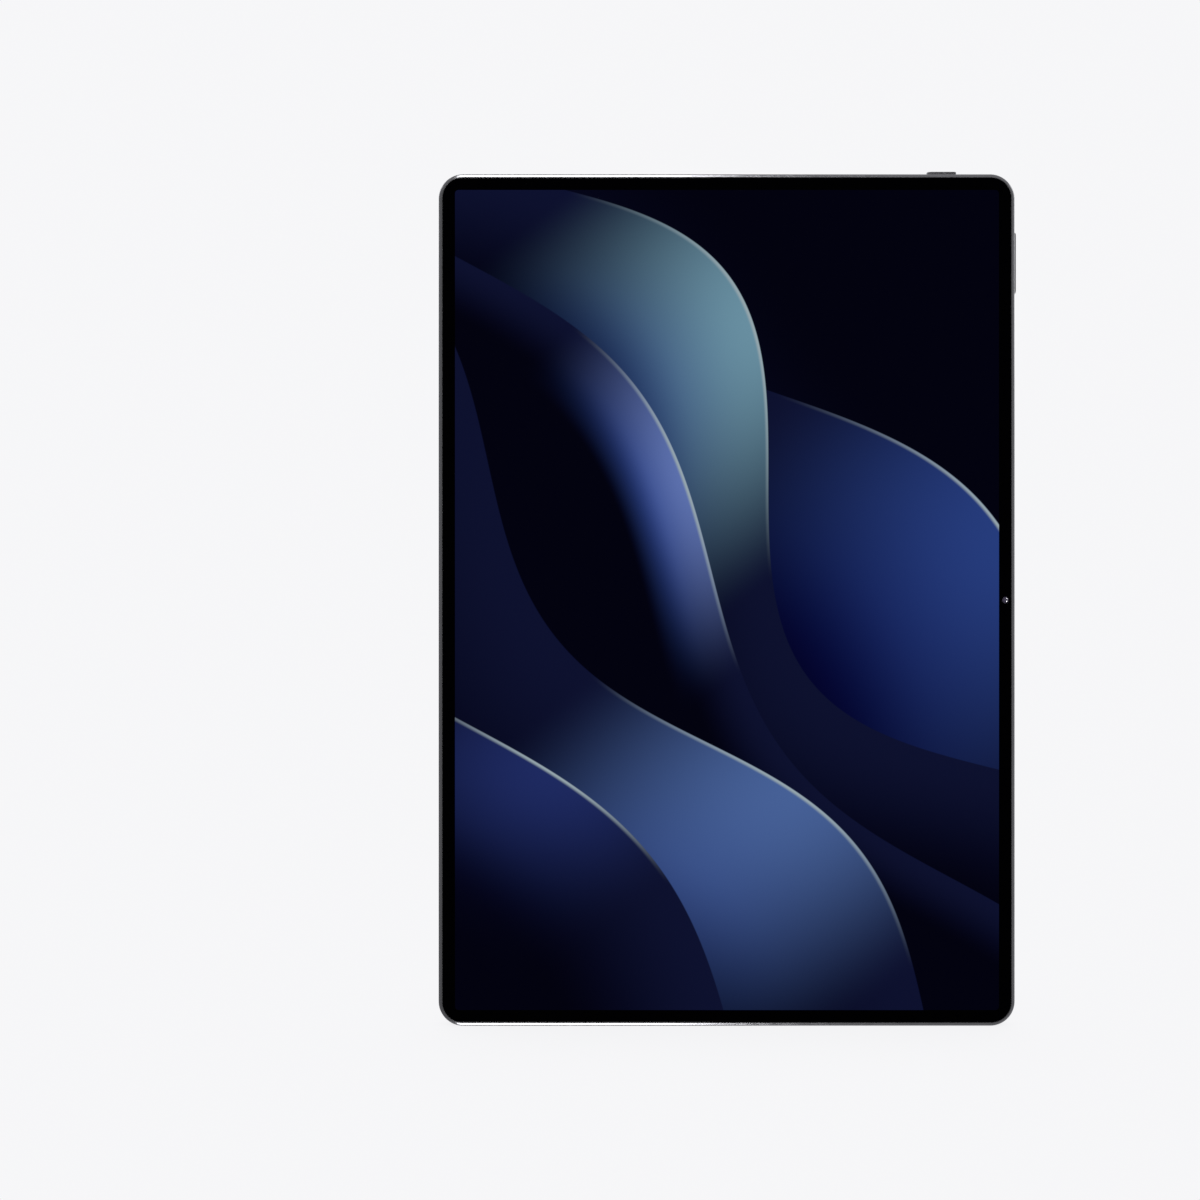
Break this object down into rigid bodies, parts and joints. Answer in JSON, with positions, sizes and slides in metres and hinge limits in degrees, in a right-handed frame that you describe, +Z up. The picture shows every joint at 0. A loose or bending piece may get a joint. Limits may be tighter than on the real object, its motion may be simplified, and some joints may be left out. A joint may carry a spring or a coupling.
{
  "type": "tablet computer",
  "caption": "Slim upright tablet computer: metal tray housing, edge-to-edge glass display, pill-shaped rear camera island with a round lens ring, power and volume keys.",
  "frame": {"origin": "centre of the flat back face", "axes": "+Z up along the long side with the tablet in portrait, +X to the right as seen from the front, +Y out of the back; the screen faces -Y"},
  "size_m": [0.1944, 0.009, 0.2875],
  "materials": {
    "housing_metal": "fine bead-blasted, grey anodised aluminium with polished edges",
    "cover_glass": "gloss black-printed chemically strengthened glass",
    "camera_glass": "dark tinted gloss glass",
    "lens_glass": "coated lens glass with a blue reflection",
    "display_stack": "liquid-crystal panel",
    "light_guide": "white light-guide and diffuser films",
    "black_plastic": "fine matt moulded black",
    "black_lens_barrel": "matt black, ribbed against stray light",
    "sheet_steel": "pressed stainless steel",
    "battery_pouch": "dark laminated foil pouch",
    "circuit_board": "solder-masked glass-fibre board",
    "chip_package": "moulded epoxy package",
    "flex_circuit": "polyimide flexible circuit",
    "graphite_film": "soft-sheen graphite film",
    "phosphor": "pale yellow phosphor under a clear moulded lens",
    "dust_mesh": "woven black dust mesh"
  },
  "bodies": {
    "tablet": {"rear_housing": "housing_metal", "cover_glass": "cover_glass", "glass_gasket": "black_plastic", "lcd_panel": "display_stack", "backlight_unit": "light_guide", "backlight_tray": "sheet_steel", "display_flex_cable": "flex_circuit", "battery_cell_left": "battery_pouch", "battery_cell_right": "battery_pouch", "battery_protection_board": "circuit_board", "main_board": "circuit_board", "main_board_screw_1": "sheet_steel", "main_board_screw_2": "sheet_steel", "main_board_screw_3": "sheet_steel", "main_board_screw_4": "sheet_steel", "processor_chip": "chip_package", "processor_shield": "sheet_steel", "power_shield": "sheet_steel", "wireless_shield": "sheet_steel", "heat_spreader": "graphite_film", "usb_c_shell": "sheet_steel", "usb_c_tongue": "black_plastic", "usb_board": "circuit_board", "usb_board_screw_1": "sheet_steel", "usb_board_screw_2": "sheet_steel", "board_flex_cable": "flex_circuit", "speaker_top_left": "black_plastic", "speaker_top_right": "black_plastic", "speaker_bottom_left": "black_plastic", "speaker_bottom_right": "black_plastic", "speaker_mesh_top_left": "dust_mesh", "speaker_mesh_top_right": "dust_mesh", "speaker_mesh_bottom_left": "dust_mesh", "speaker_mesh_bottom_right": "dust_mesh", "power_dome": "sheet_steel", "power_bracket": "sheet_steel", "volume_up_dome": "sheet_steel", "volume_down_dome": "sheet_steel", "volume_bracket": "sheet_steel", "camera_plate": "housing_metal", "camera_ring": "housing_metal", "camera_window": "camera_glass", "lens_baffle": "black_lens_barrel", "autofocus_housing": "sheet_steel", "image_sensor_board": "circuit_board", "flash_bezel": "black_plastic", "flash_lens": "phosphor", "flash_led": "phosphor", "sensor_window": "camera_glass", "sensor_module": "chip_package", "front_camera_module": "chip_package", "front_camera_barrel": "lens_glass", "top_microphone": "chip_package", "side_microphone": "chip_package", "top_antenna": "flex_circuit", "side_antenna": "flex_circuit"},
    "power_key": {"power_button": "housing_metal"},
    "volume_rocker": {"volume_key": "housing_metal"},
    "focus_lens": {"lens_barrel": "black_lens_barrel", "lens_front_element": "lens_glass"}
  },
  "joints": [
    {"name": "power_button_press", "type": "slide", "parent": "tablet", "child": "power_key", "axis": [0, 0, -1], "range_m": [0, 0.0003], "stiffness_N_per_m": 1500},
    {"name": "volume_key_rock", "type": "hinge", "parent": "tablet", "child": "volume_rocker", "pos_m": [0.09452, -0.0035, 0.11363], "axis": [0, 1, 0], "range_deg": [-1.8, 1.8], "stiffness_Nm_per_rad": 0.1},
    {"name": "autofocus_travel", "type": "slide", "parent": "tablet", "child": "focus_lens", "axis": [0, 1, 0], "range_m": [0, 0.0003], "stiffness_N_per_m": 60}
  ]
}
